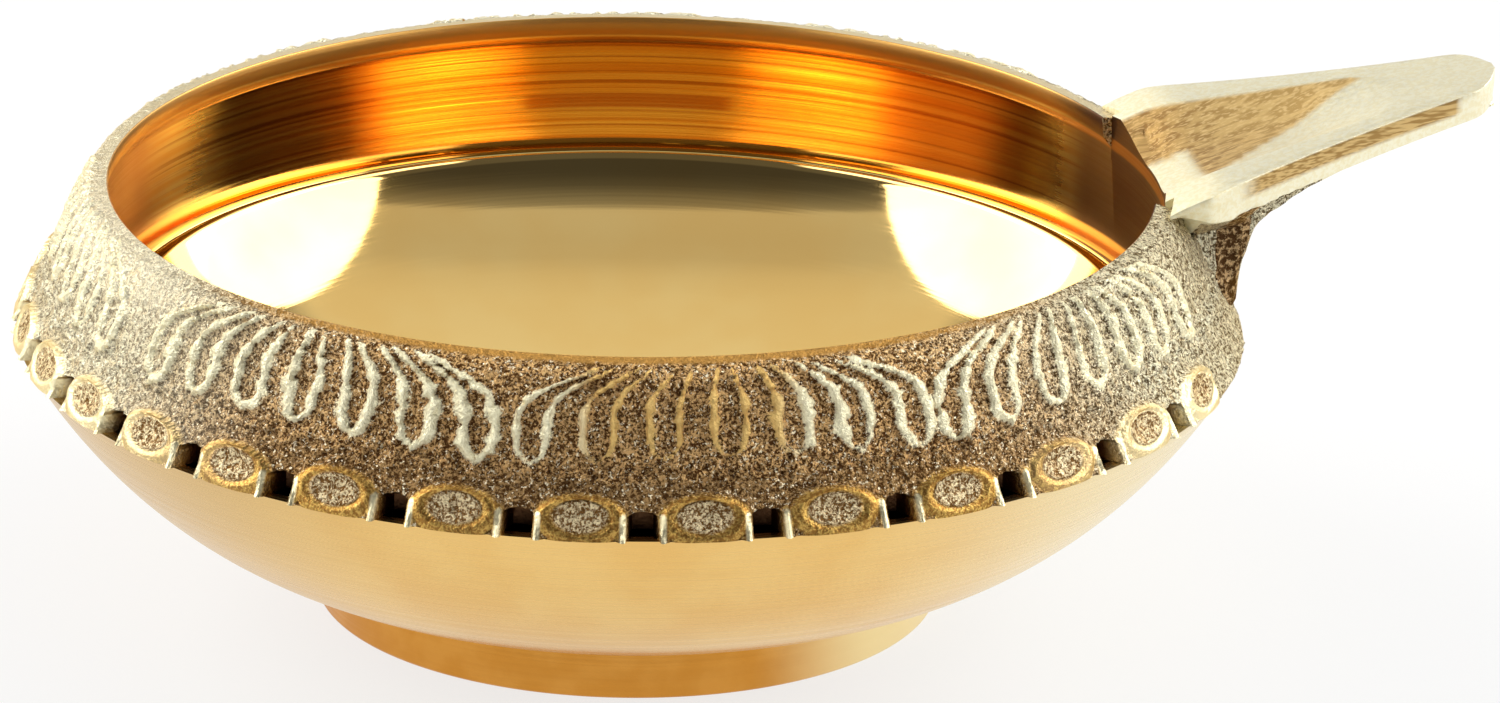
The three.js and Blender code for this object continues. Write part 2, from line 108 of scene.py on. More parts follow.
class Finish:
    """A brass finish: its shader, and the place on the lamp that its patterns read, in millimetres."""

    def __init__(self, name):
        self.material = bpy.data.materials.new(name)
        self.material.use_nodes = True
        self.tree = self.material.node_tree
        self.shader = self.tree.nodes["Principled BSDF"]
        self.shader.inputs["Metallic"].default_value = 1.0
        place = self.add("ShaderNodeTexCoord")
        centred = self.add("ShaderNodeMapping")
        centred.inputs["Location"].default_value = (-axis_x, 0, 0)
        centred.inputs["Scale"].default_value = (1 / mm,) * 3
        self.link(place.outputs["Object"], centred.inputs["Vector"])
        self.place = centred.outputs["Vector"]
        parts = self.add("ShaderNodeSeparateXYZ")
        self.link(self.place, parts.inputs[0])
        self.x, self.y, self.z = parts.outputs

    def add(self, kind, **settings):
        node = self.tree.nodes.new(kind)
        for key, value in settings.items():
            setattr(node, key, value)
        return node

    def link(self, source, target):
        self.tree.links.new(source, target)

    def maths(self, operation, first, second=0.0):
        node = self.add("ShaderNodeMath", operation=operation)
        for socket, value in zip(node.inputs, (first, second)):
            if isinstance(value, (int, float)):
                socket.default_value = value
            else:
                self.link(value, socket)
        return node.outputs[0]

    def plus(self, first, second):
        return self.maths("ADD", first, second)

    def times(self, first, second):
        return self.maths("MULTIPLY", first, second)

    def larger(self, first, second):
        return self.maths("MAXIMUM", first, second)

    def radius(self):
        return self.maths("SQRT", self.plus(self.times(self.x, self.x), self.times(self.y, self.y)))

    def stretched(self, source, scale):
        node = self.add("ShaderNodeMapping")
        node.inputs["Scale"].default_value = scale
        self.link(source, node.inputs["Vector"])
        return node.outputs["Vector"]

    def grain(self, source, scale, detail=2.0, rough=0.5):
        node = self.add("ShaderNodeTexNoise")
        node.inputs["Scale"].default_value = scale
        node.inputs["Detail"].default_value = detail
        node.inputs["Roughness"].default_value = rough
        self.link(source, node.inputs["Vector"])
        return node.outputs["Fac"]

    def lathe_lines(self, spacing, detail, along=1.0):
        """Fine lines that run round the axis, as a lathe leaves them."""
        turn = self.times(self.maths("ARCTAN2", self.y, self.x), 0.35)
        joined = self.add("ShaderNodeCombineXYZ")
        for source, target in zip((self.radius(), self.z, turn), joined.inputs):
            self.link(source, target)
        return self.grain(self.stretched(joined.outputs[0], (spacing, spacing, along)), 1.0, detail)

    def painted(self, attribute):
        """How strongly this attribute of the mesh is marked at a place."""
        return self.add("ShaderNodeAttribute", attribute_name=attribute).outputs["Fac"]

    def span(self, source, low, high, to_low=0.0, to_high=1.0):
        """A soft step as the source goes from low to high."""
        node = self.add("ShaderNodeMapRange", interpolation_type="SMOOTHSTEP")
        for key, value in zip(("From Min", "From Max", "To Min", "To Max"), (low, high, to_low, to_high)):
            node.inputs[key].default_value = value
        self.link(source, node.inputs["Value"])
        return node.outputs["Result"]

    def blend(self, factor, first, second):
        node = self.add("ShaderNodeMix", data_type="RGBA")
        self.link(factor, node.inputs["Factor"])
        for key, value in (("A", first), ("B", second)):
            socket = [s for s in node.inputs if s.name == key and s.type == "RGBA"][0]
            if isinstance(value, tuple):
                socket.default_value = value
            else:
                self.link(value, socket)
        return [s for s in node.outputs if s.type == "RGBA"][0]

    def bumps(self, *layers):
        """Bump from layers of (height socket, strength, depth in millimetres)."""
        previous = None
        for height, strength, depth in layers:
            node = self.add("ShaderNodeBump")
            node.inputs["Strength"].default_value = strength
            node.inputs["Distance"].default_value = depth * mm
            self.link(height, node.inputs["Height"])
            if previous:
                self.link(previous, node.inputs["Normal"])
            previous = node.outputs["Normal"]
        self.link(previous, self.shader.inputs["Normal"])

    def colour(self, source):
        self.link(source, self.shader.inputs["Base Color"])

    def roughness(self, source):
        self.link(source, self.shader.inputs["Roughness"])


foot_ring = turn_on_lathe("foot_ring_turned", [
    (foot_bore, bore_edge),
    *arc(foot_bore + bore_edge, bore_edge, bore_edge, 180, 270, 3),
    *arc(foot_radius - foot_edge, foot_edge, foot_edge, -90, 0),
    *arc(foot_radius - foot_edge, foot_height - foot_edge, foot_edge, 0, 90),
    (foot_bore, foot_height),
    (foot_bore, bore_edge),
], 288)
smooth_faces(foot_ring, 40)

foot_satin = Finish("foot_satin")
foot_fine = foot_satin.lathe_lines(5, 3)
foot_cloud = foot_satin.grain(foot_satin.place, 0.35, 3)
foot_gold = foot_satin.blend(foot_satin.span(foot_cloud, 0.35, 0.65), foot_dark_gold, foot_light_gold)
# Painted light: the foot is paler towards its right side.
foot_gold = foot_satin.blend(foot_satin.span(foot_satin.x, 5, 15), foot_gold, foot_painted_light_gold)
# Painted highlight: a pale line of light round the top edge.
near_top = foot_satin.span(foot_satin.z, foot_height - 0.5, foot_height - 0.2)
foot_satin.colour(foot_satin.blend(near_top, foot_gold, foot_top_painted_highlight))
foot_satin.roughness(foot_satin.span(foot_fine, 0.3, 0.7, 0.28, 0.42))
foot_satin.bumps((foot_fine, 0.25, 0.05), (foot_satin.grain(foot_satin.place, 4.0, 2), 0.12, 0.05))
foot_ring.data.materials.append(foot_satin.material)
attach(foot_ring, "root")
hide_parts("foot_ring")


# Bowl: turned from a brass casting, satin outside from the foot up to the collar and polished inside
# as a shallow dish. Fine lines from the lathe run round it.

seat_radius = 22.0
joint_radius = 41.5
joint_height = 19.0
dish_radius = 35.0
dish_bottom = 5.6
bottom_height = 2.9
bottom_gap = 0.3
spigot_top = 19.5
spigot_radius = 35.9
spigot_edge = 0.2
bowl_gold = (0.86, 0.54, 0.17, 1)
bowl_light_gold = (0.90, 0.60, 0.21, 1)
bowl_left_painted_shade = (0.74, 0.50, 0.20, 1)
bowl_right_painted_light = (0.96, 0.80, 0.46, 1)
dish_gold = (0.93, 0.61, 0.20, 1)
dish_light_gold = (0.95, 0.66, 0.24, 1)


def curve(controls, steps):
    """Points on a Bezier curve with three or four control points."""
    order = len(controls) - 1
    points = []
    for step in range(steps + 1):
        t = step / steps
        weights = [math.comb(order, i) * t ** i * (1 - t) ** (order - i) for i in range(order + 1)]
        points.append(tuple(sum(w * p[axis] for w, p in zip(weights, controls)) for axis in (0, 1)))
    return points


bowl = turn_on_lathe("bowl_turned", [
    (0, bottom_height),
    (foot_bore - bottom_gap, bottom_height),
    (foot_bore - bottom_gap, foot_height),
    (seat_radius - 0.3, foot_height),
    *curve([(seat_radius, foot_height + 0.12), (seat_radius + 12, 6.5), (joint_radius, joint_height)], 34),
    (spigot_radius + 0.3, joint_height),
    *arc(spigot_radius, spigot_top - spigot_edge, spigot_edge, 0, 90, 3),
    *arc(dish_radius + spigot_edge, spigot_top - spigot_edge, spigot_edge, 90, 150, 3),
    *curve([(dish_radius, spigot_top - 0.3), (29, 11.0), (17, dish_bottom), (0, dish_bottom)], 56),
], 288)
smooth_faces(bowl, 30)

satin = Finish("bowl_satin")
fine = satin.lathe_lines(4, 3)
cloud = satin.grain(satin.place, 0.12, 3)
gold = satin.blend(satin.span(cloud, 0.35, 0.65), bowl_gold, bowl_light_gold)
# Painted shade darkens the bowl's left side, and painted light pales its right side.
gold = satin.blend(satin.span(satin.x, -18, -34), gold, bowl_left_painted_shade)
satin.colour(satin.blend(satin.span(satin.x, 8, 30), gold, bowl_right_painted_light))
satin.roughness(satin.span(fine, 0.3, 0.7, 0.22, 0.32))
satin.bumps((fine, 0.12, 0.04))

polish = Finish("dish_polish")
fine = polish.lathe_lines(7, 3)
wide = polish.lathe_lines(1.1, 2)
cloud = polish.grain(polish.place, 0.09, 3)
polish.colour(polish.blend(polish.span(cloud, 0.35, 0.65), dish_gold, dish_light_gold))
polish.roughness(polish.span(fine, 0.3, 0.7, 0.04, 0.08))
polish.bumps((wide, 0.03, 0.1), (fine, 0.04, 0.03))

bowl.data.materials.append(satin.material)
bowl.data.materials.append(polish.material)
for face in bowl.data.polygons:
    reach = math.hypot(face.center.x / mm - axis_x, face.center.y / mm)
    in_dish = face.center.z > (dish_bottom - 0.6) * mm and face.normal.z > 0.02
    face.material_index = 1 if in_dish and reach < spigot_radius + 0.4 else 0
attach(bowl, "root")
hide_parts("bowl")


# Ornament collar: a sand casting that sits on the bowl's edge. Its outside flares from the rim down
# to a row of oval beads with sockets between them, under seven fans of seven petals each, as cast.
# Its inside is turned, with a lip that is a little undercut, and the rim falls away to the outside.

rim_height = 29.36
rim_radius = 36.65
lip_radius = 35.3
bore = 36.4
inner_face = [(lip_radius + 0.15, rim_height - 1.5), (bore - 0.6, 27.4), (bore - 0.4, 27.1), (bore, 20.0)]
notch_half = 9.2
notch_floor = 26.26
fan_places = (47, 89, 132, 180, 228, 271, 313)
worn_fan = 271
petal_step = math.radians(6.3)
petal_half = 1.0
petal_top = rim_height + 0.7
socket_places = (37.1, 49.1, 61.6, 73.5, 86.1, 97.3, 108.5, 120.2, 131.8, 142.6, 153.6, 164.0, 174.5)
end_bead = 5.8
bead_reach = 41.7
bead_z = 20.45
bead_half = (2.6, 1.24)
hood_half = 3.35
hood_above = 1.5
hood_below = 2.0
dimple_half = (1.95, 1.04)
dimple_depth = 0.40
socket_half = 0.98
socket_spring = 19.5
socket_arch = 1.15
socket_back = 39.6
upright_off = 1.30
upright_half = 0.34
upright_top = 21.0
petal_relief = 0.38
sand_relief = 0.09
rows_below, rows_above, rows_on_top = 32, 30, 7
columns = 1260

flare = curve([(rim_radius, rim_height), (38.15, 26.36), (38.9, 23.2), (joint_radius, joint_height)], 400)
flare_z = np.array([z for _, z in flare])[::-1]
flare_r = np.array([r for r, _ in flare])[::-1]


def flare_radius(height):
    return np.interp(height, flare_z, flare_r)


def flare_normal(height):
    slope = (flare_radius(height + 0.05) - flare_radius(height - 0.05)) / 0.1
    length = np.sqrt(1 + slope ** 2)
    return 1 / length, -slope / length


heights = [joint_height + 4.0 * step / rows_below for step in range(rows_below)]
heights += [23.0 + (rim_height - 0.1 - 23.0) * step / rows_above for step in range(rows_above + 1)]
top_rows = [rim_radius - 0.12 - (rim_radius - lip_radius - 0.2) * step / rows_on_top
            for step in range(rows_on_top + 1)]
collar = turn_on_lathe("ornament_collar_cast", [
    (bore, joint_height),
    (40.6, joint_height),
    *[(float(flare_radius(height)), height) for height in heights],
    *[(row, rim_height) for row in top_rows],
    (lip_radius, rim_height - 0.09),
    *inner_face,
    (bore, joint_height),
], columns)


def petal_path(petal, side, t, wobble):
    """Angle and height of one edge of a petal, at t from its top to its round end."""
    length = 6.3 + 0.6 * (petal / 3) ** 2
    height = petal_top - length * t
    hang = 1 - 0.42 * max(0, 1 - t / 0.66) ** 2
    swell = math.sin(math.pi * (0.12 + 0.55 * t))
    closed = math.sqrt(max(0, 1 - max(0, (t - 0.80) / 0.20) ** 2))
    half = petal_half * swell * closed
    out = float(flare_radius(min(height, rim_height)))
    return petal_step * petal * hang + (side * half + 0.10 * wobble) / out, height


mesh = collar.data
places = np.zeros(len(mesh.vertices) * 3)
mesh.vertices.foreach_get("co", places)
places = places.reshape(-1, 3) / mm
x, y, z = places[:, 0] - axis_x, places[:, 1], places[:, 2]
radius = np.hypot(x, y)
angle = np.arctan2(y, x)
on_top = (z > rim_height - 0.01) & (radius > lip_radius)
outside = (np.abs(radius - flare_radius(z)) < 0.02) | on_top
up = z + np.where(on_top, rim_radius - radius, 0)

# Grain of the sand, coarse and fine
grain_small = np.zeros(len(x))
grain_large = np.zeros(len(x))
for i in np.where(outside)[0]:
    spot = Vector((x[i], y[i], z[i]))
    grain_large[i] = noise.fractal(spot * 1.1, 1.0, 2.0, 2)
    grain_small[i] = noise.fractal(spot * 2.6 + Vector((40, 0, 0)), 0.9, 2.0, 2)

# The rim's top and its outer edge fall away, most on the side towards -Y
front = np.clip(0.5 - 0.5 * np.sin(angle + 0.15), 0, 1)
fall = 0.15 + 0.75 * front ** 2
dropped = np.clip((up - (rim_height - 2.2)) / 2.2, 0, 1) * np.clip((rim_height + 1.35 - up) / 1.35, 0, 1)
z = z - np.where(outside, fall * dropped, 0)

# The edges of the petals
ridge = np.zeros(len(x))
for place in fan_places:
    away = (angle - math.radians(place) + math.pi) % math.tau - math.pi
    near = np.where(outside & (np.abs(away) < petal_step * 4.2) & (up > 22.2))[0]
    across, height = away[near], up[near]
    here = flare_radius(np.minimum(height, rim_height))
    best = np.zeros(len(near))
    for petal in range(-3, 4):
        for side in (-1, 1):
            seed = Vector((place * 0.37, petal * 1.9 + side * 0.6, 4.4))
            strength = 0.88 + 0.35 * noise.noise(seed)
            shift = 0.5 * noise.noise(seed + Vector((0, 0, 9)))
            points = []
            for step in range(25):
                t = step / 24
                wobble = shift + noise.noise(Vector((place * 0.9, petal * 3.3 + side, t * 2.6)))
                points.append(petal_path(petal, side, t, wobble))
            for step, ((a0, z0), (a1, z1)) in enumerate(zip(points, points[1:])):
                du, dz = (a1 - a0) * here, z1 - z0
                u, v = (across - a0) * here, height - z0
                along = np.clip((u * du + v * dz) / (du * du + dz * dz + 1e-9), 0, 1)
                gap = np.hypot(u - along * du, v - along * dz)
                t = step / 23
                width = (0.14 + 0.30 * min(1, t / 0.65)) * (1 - 0.4 * max(0, t - 0.8) / 0.2)
                width *= 0.62 if place == worn_fan and petal < 1 else 1
                width = width * (1 + 0.8 * grain_large[near] + 0.5 * grain_small[near])
                closing = 1 - (0.55 if place == worn_fan else 0.15) * max(0, t - 0.75) / 0.25
                best = np.maximum(best, strength * closing * np.exp(-np.abs(gap / width) ** 2.6))
    ridge[near] = np.maximum(ridge[near], best)
ridge *= np.clip((petal_top - up) / 0.7, 0, 1)


def nearest(middles):
    """How far round the joint each point lies from the nearest of these places, in millimetres."""
    turns = (angle[:, None] - np.radians(middles)[None, :] + math.pi) % math.tau - math.pi
    closest = np.argmin(np.abs(turns), axis=1)
    return turns[np.arange(len(angle)), closest] * joint_radius


# Beads and the sockets between them
sockets = sorted([*socket_places, *[360 - place for place in socket_places]])
beads = [(a + b) / 2 for a, b in zip(sockets, sockets[1:])]
beads += [sockets[0] - end_bead, sockets[-1] + end_bead]
bead_off, socket_off = nearest(beads), nearest(sockets)
bead_face = bead_reach - 0.42 * (z - 19.3)
face_oval = np.hypot(bead_off / bead_half[0], (z - bead_z) / bead_half[1])
hood_z = z - bead_z + 0.1
hood = np.hypot(bead_off / hood_half, hood_z / np.where(hood_z > 0, hood_above, hood_below))
dimple = np.hypot(bead_off / dimple_half[0], (z - bead_z) / dimple_half[1])
plain = flare_radius(z)
button = plain + (bead_face - plain) * (1 - np.clip((hood - 0.72) / 0.28, 0, 1) ** 1.6)
button = np.where(face_oval < 1.0, bead_face, button)
button += 0.06 * np.exp(-((face_oval - 0.98) / 0.10) ** 2)
button -= dimple_depth * np.clip(1.1 - dimple, 0, 1) ** 0.6
target = np.where(outside & (z < 23.4), np.maximum(plain, button), plain)
beside_spout = np.clip((28.5 - np.abs(np.degrees(angle))) / 1.5, 0, 1)
target -= 0.75 * beside_spout * np.clip((22.5 - z) / 3.0, 0, 1)

upright = np.exp(-((np.abs(socket_off) - upright_off) / upright_half) ** 2)
upright *= np.clip((upright_top - z) / 0.5, 0, 1)
target = np.maximum(target, plain + 0.45 * upright)
over_arch = np.hypot(socket_off / 1.6, np.maximum(0, z - socket_spring) / socket_arch)
hollow = np.clip((1.0 - np.maximum(np.abs(socket_off) / socket_half, over_arch)) / 0.16, 0, 1)
scooped = socket_back - 0.5 * np.sqrt(np.clip(1 - socket_off ** 2, 0, 1))
target = target * (1 - hollow) + np.minimum(target, scooped) * hollow
radial = np.where(outside & (up < rim_height - 0.5), target - plain, 0)

on_bead = np.clip((1.0 - hood) / 0.12, 0, 1)
in_dimple = np.clip((1.0 - dimple) / 0.2, 0, 1)
smooth_part = np.maximum(0.75 * np.clip(on_bead - in_dimple, 0, 1), np.maximum(hollow, upright))
left = np.clip((-x / radius - 0.55) / 0.35, 0, 1)
worn = np.clip((up - (rim_height - 0.3 - 2.0 * left)) / 0.8, 0, 1) * np.clip(1.2 - 1.6 * front, 0, 1)
smooth_part = np.maximum(smooth_part, 0.8 * worn)
band = np.exp(-((z - 22.9) / 0.75) ** 2) * (1 - smooth_part)
rough_part = (1 - smooth_part) * (1 - 0.3 * ridge) * np.clip((rim_height + 1.2 - up) / 0.5, 0, 1)
lift = petal_relief * ridge * (1 - 0.6 * worn)
lift += sand_relief * rough_part * (grain_large * (1 + 2.2 * band) + grain_small * (1 + 1.5 * band))

out_r, out_z = flare_normal(np.minimum(up, rim_height))
out_r, out_z = np.where(on_top, 0.35, out_r), np.where(on_top, 0.94, out_z)
new_radius = radius + radial + np.where(outside, lift * out_r, 0)
new_z = np.where(outside, np.clip(z + lift * out_z, joint_height, rim_height), z)
places[:, 0] = new_radius * np.cos(angle) + axis_x
places[:, 1] = new_radius * np.sin(angle)
places[:, 2] = new_z
mesh.vertices.foreach_set("co", (places * mm).ravel())

marks = {"relief": ridge, "burnished": smooth_part, "sunk": hollow, "dimpled": in_dimple, "edged": upright}
for name, values in marks.items():
    layer = mesh.attributes.new(name, "FLOAT", "POINT")
    layer.data.foreach_set("value", np.where(outside, values, 0).astype(np.float32))
mesh.update()


def cut_away(piece, cutter):
    """Takes the cutter's shape out of the piece and removes the cutter."""
    bpy.ops.object.select_all(action="DESELECT")
    bpy.context.view_layer.objects.active = piece
    piece.select_set(True)
    cut = piece.modifiers.new("cut", "BOOLEAN")
    cut.operation = "DIFFERENCE"
    cut.solver = "MANIFOLD"
    cut.object = cutter
    bpy.ops.object.modifier_apply(modifier=cut.name)
    piece.data.materials.clear()
    bpy.data.objects.remove(cutter)


def box_cutter(low, high):
    bpy.ops.object.select_all(action="DESELECT")
    middle = [(a + b) / 2 * mm for a, b in zip(low, high)]
    bpy.ops.mesh.primitive_cube_add(size=1, location=middle)
    cutter = bpy.context.object
    cutter.scale = [(b - a) * mm for a, b in zip(low, high)]
    bpy.ops.object.transform_apply(location=True, rotation=True, scale=True)
    return cutter


cut_away(collar, box_cutter((axis_x, -notch_half, notch_floor), (50, notch_half, 45)))
smooth_faces(collar, 55)

# The cast skin: bright grains over dark pits, with painted shade making the front browner, as it lies in
# its own shade, and painted light making the sides paler
pit_in_painted_light = (0.12, 0.085, 0.040, 1)
pit_in_painted_shade = (0.090, 0.038, 0.012, 1)
sand_in_painted_light = (0.80, 0.75, 0.54, 1)
sand_in_painted_shade = (0.74, 0.47, 0.20, 1)
low_band_painted_shade = (0.09, 0.045, 0.015, 1)
painted_glint_gold = (1.0, 0.90, 0.66, 1)
left_painted_light_gold = (0.99, 0.92, 0.70, 1)
rim_edge_painted_shade = (0.50, 0.27, 0.07, 1)
petal_cream = (1.0, 0.94, 0.66, 1)
front_petal_painted_shade = (0.82, 0.56, 0.20, 1)
bead_flank = (0.97, 0.84, 0.50, 1)
bead_top = (0.86, 0.62, 0.24, 1)
bead_pit_in_painted_shade = (0.34, 0.17, 0.04, 1)
bead_in_painted_shade = (0.66, 0.42, 0.11, 1)
rim_cream = (1.0, 0.94, 0.70, 1)
dimple_pit = (0.20, 0.10, 0.03, 1)
dimple_cream = (0.96, 0.82, 0.52, 1)
upright_gold = (0.98, 0.88, 0.56, 1)
socket_painted_shade = (0.15, 0.075, 0.035, 1)
cast_tint = (0.80, 0.58, 0.32, 1)

cast = Finish("cast_brass_sand_and_painted_light")
cast.shader.inputs["Specular Tint"].default_value = cast_tint
sand = cast.grain(cast.place, 3.0, 3, 0.7)
sand_fine = cast.grain(cast.place, 6.5, 2, 0.6)
both = cast.plus(cast.times(sand, 0.55), cast.times(sand_fine, 0.45))
# Painted shade: how far a place faces the front of the lamp, which lies in its own shade
shaded = cast.span(cast.plus(cast.times(cast.x, -0.0036), cast.times(cast.y, -0.0236)), 0.44, 0.84)
pits = cast.span(cast.plus(both, cast.times(shaded, -0.02)), 0.42, 0.56)
smooth_at = cast.painted("burnished")
burnished = cast.span(smooth_at, 0.2, 0.8)
raised = cast.span(cast.plus(cast.painted("relief"), cast.times(sand_fine, 0.7)), 0.52, 0.84)

field = cast.blend(pits, cast.blend(shaded, pit_in_painted_light, pit_in_painted_shade), cast.blend(shaded, sand_in_painted_light, sand_in_painted_shade))
# Painted shade: the shaded front is darker low down, just above the beads.
low_down = cast.times(cast.span(cast.z, 23.0, 21.8), cast.times(shaded, 0.45))
field = cast.blend(low_down, field, low_band_painted_shade)
# Painted glints: small bright spots over the sand.
glint_spots = cast.span(cast.grain(cast.place, 4.2, 2, 0.7), 0.59, 0.66)
field = cast.blend(glint_spots, field, painted_glint_gold)
# Painted light: the far left of the collar is paler, most towards the rim.
far_left = cast.times(cast.span(cast.x, -27, -37), cast.span(cast.z, 25.5, 28.0, 0.2, 0.6))
field = cast.blend(far_left, field, left_painted_light_gold)
# Painted shade: the rim's inner edge is brown where the front is shaded.
inner_edge = cast.times(cast.span(cast.radius(), 36.0, 35.7), shaded)
field = cast.blend(inner_edge, field, rim_edge_painted_shade)

# Painted shade: the front fan's petal edges are gold, not cream, where the front is shaded.
front_fan = cast.times(cast.times(cast.span(cast.x, -10, -7.5), cast.span(cast.x, 6, 3.5)), shaded)
ridges = cast.blend(raised, field, cast.blend(front_fan, petal_cream, front_petal_painted_shade))
bead_side = cast.blend(cast.span(cast.z, 21.2, 22.2), bead_flank, bead_top)
# Painted shade: beads on the shaded front are browner.
bead_gold = cast.blend(shaded, bead_side, cast.blend(pits, bead_pit_in_painted_shade, bead_in_painted_shade))
smooth_gold = cast.blend(cast.span(cast.z, 24, 25), bead_gold, rim_cream)
skin = cast.blend(burnished, ridges, smooth_gold)
skin = cast.blend(cast.painted("dimpled"), skin, cast.blend(pits, dimple_pit, dimple_cream))
skin = cast.blend(cast.span(cast.painted("edged"), 0.5, 0.9), skin, upright_gold)
# Painted shade: the sunk sockets between the beads are dark brown.
cast.colour(cast.blend(cast.span(cast.painted("sunk"), 0.1, 0.7), skin, socket_painted_shade))
cast.roughness(cast.span(cast.larger(raised, burnished), 0.0, 1.0, 0.36, 0.38))
coarse = cast.times(sand, cast.span(smooth_at, 0.2, 0.8, 1.0, 0.25))
coarse_fine = cast.times(sand_fine, cast.span(smooth_at, 0.2, 0.8, 1.0, 0.35))
cast.bumps((coarse, 0.9, 0.35), (coarse_fine, 0.8, 0.14))

# The turned wall: gold with scored lines, and brown with painted shade and painted reflection at its ends,
# in the groove under the lip, in a band on the far side and at the spout's mouth
wall_gold = (0.88, 0.56, 0.16, 1)
wall_light_gold = (0.98, 0.80, 0.34, 1)
score_brown = (0.50, 0.22, 0.05, 1)
end_painted_reflection = (0.42, 0.20, 0.08, 1)
lip_gold = (0.72, 0.40, 0.11, 1)
mouth_painted_shade = (0.10, 0.045, 0.02, 1)
far_band_painted_reflection = (0.55, 0.20, 0.05, 1)
groove_painted_shade = (0.42, 0.17, 0.03, 1)
seam_gold = (0.84, 0.48, 0.13, 1)

wall = Finish("collar_inside_turned")
fine = wall.lathe_lines(6, 3)
wide = wall.lathe_lines(1.6, 2)
scored = wall.lathe_lines(3.2, 2, 0.5)
turned = wall.blend(wall.span(wide, 0.38, 0.62), wall_gold, wall_light_gold)
turned = wall.blend(wall.times(wall.span(scored, 0.46, 0.34), 0.7), turned, score_brown)
sideways = wall.maths("ABSOLUTE", wall.plus(wall.x, wall.times(wall.y, -0.15)))
# Painted reflection: the wall turns brown towards its ends, where its reflection is dark.
turned = wall.blend(wall.span(sideways, 31.5, 34.5), turned, end_painted_reflection)
turned = wall.blend(wall.span(wall.z, 27.9, 28.2), turned, lip_gold)
# Painted shade: the wall near the spout's mouth is dark brown.
mouthward = wall.span(wall.x, 31.0, 34.0)
turned = wall.blend(mouthward, turned, mouth_painted_shade)
# Painted reflection: a dark red-brown band on the far side of the wall only.
far_side = wall.span(wall.maths("ABSOLUTE", wall.plus(wall.x, -5.0)), 8.0, 6.5)
far_band = wall.times(wall.span(wall.z, 22.2, 22.4), wall.span(wall.z, 23.5, 23.3))
turned = wall.blend(wall.times(wall.times(far_band, far_side), 0.7), turned, far_band_painted_reflection)
# Painted shade in the undercut groove below the lip.
groove = wall.times(wall.span(wall.z, 26.9, 27.2), wall.span(wall.z, 27.95, 27.75))
turned = wall.blend(wall.times(groove, 0.75), turned, groove_painted_shade)
wall.colour(wall.blend(wall.span(wall.z, 20.4, 20.1), turned, seam_gold))
dulled = wall.larger(wall.times(wall.span(wall.z, 27.2, 27.5), 0.25), wall.times(mouthward, 0.30))
dulled = wall.larger(dulled, wall.times(wall.span(sideways, 27.0, 32.0), 0.20))
wall.roughness(wall.plus(wall.span(fine, 0.3, 0.7, 0.08, 0.15), dulled))
wall.bumps((wide, 0.10, 0.10), (fine, 0.15, 0.03))

collar.data.materials.append(cast.material)
collar.data.materials.append(wall.material)
for face in collar.data.polygons:
    x, y = face.center.x / mm - axis_x, face.center.y / mm
    outwards = (x * face.normal.x + y * face.normal.y) / math.hypot(x, y)
    in_notch = abs(face.normal.y) > 0.9 and abs(abs(y) - notch_half) < 0.05
    if math.hypot(x, y) < bore + 0.05 and (outwards < -0.4 or face.normal.z < -0.4 or in_notch):
        face.material_index = 1
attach(collar, "root")
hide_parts("ornament_collar")


# Spout: cast, filed along its length and brazed into the notch in the rim. A trough for the wick runs
# down its top, its edges stand upright, and a rough gusset under it carries it on the collar.

spout_root = 37.0
spout_reach = 59.2
nose_length = 2.8
nose_start = spout_reach - nose_length
trough_end = 53.4
point_length = 3.2
trough_wide = 7.8
trough_narrow = 3.4
trough_deep = 1.9
trough_shallow = 1.2
land_rise = 1.2
land_slope = 0.21
mouth_dip = 0.65
edge_height = 1.05
skirt_height = 1.4
wing_half = 11.8
wing_gap = 0.15
tongue_gap = 0.42
gusset_half = 5.8
gusset_low = 20.4
fillet = 0.9
fillet_reach = 1.6
station_step = 0.3
file_slant = -11


def between(a, b, t):
    return a + (b - a) * t


def clamped(value, low=0.0, high=1.0):
    return max(low, min(high, value))


def eased(t):
    return t * t * (3 - 2 * t)


def land_height(s):
    """Height of the flat top at a reach s from the bowl's axis; it dips a little at the mouth."""
    ease = max(0, spout_root + 2 - s) / 4.2
    return rim_height + land_rise + land_slope * (s - spout_root) - mouth_dip * ease * ease


def along_spout(s):
    return clamped((s - spout_root) / (nose_start - spout_root))


def half_width(s):
    back = nose_start - s
    nose = max(0, -back) / nose_length
    return min(wing_half, 4.3 + 0.27 * back + 0.0066 * max(0, back) ** 2) - 3.0 * nose ** 3.0


gusset_foot = float(flare_radius(gusset_low)) + 0.2
keel = curve([(gusset_foot, gusset_low), (gusset_foot + 0.35, 25.9), (gusset_foot + 1.3, 27.6),
              (spout_reach, land_height(spout_reach) - 2.6)], 300)
keel_s = np.array([s for s, _ in keel])
keel_z = np.array([z for _, z in keel])


def trough_run(s):
    return clamped((s - spout_root) / (trough_end - spout_root))


def trough_point(s):
    return clamped((s - (trough_end - point_length)) / point_length)


def trough(s, share):
    """How far the trough lies below the land, at a share of its half-width."""
    ending = clamped((s - (trough_end - 9)) / 9)
    depth = between(trough_deep, trough_shallow, trough_run(s)) * (1 - eased(ending))
    depth *= 1 - 0.4 * trough_point(s)
    bank = clamped((1 - share) / 0.36)
    floor = clamped((0.64 - share) / 0.42)
    return depth * (0.66 * bank + 0.34 * (1 - (1 - floor) ** 2))


def trough_half(s):
    return between(trough_wide, trough_narrow, trough_run(s)) * math.sqrt(1 - 0.97 * trough_point(s))


trough_shares = [1.0, 0.985, 0.95, 0.9, 0.85, 0.8, 0.75, 0.7, 0.63, 0.55, 0.46, 0.36, 0.25, 0.12]


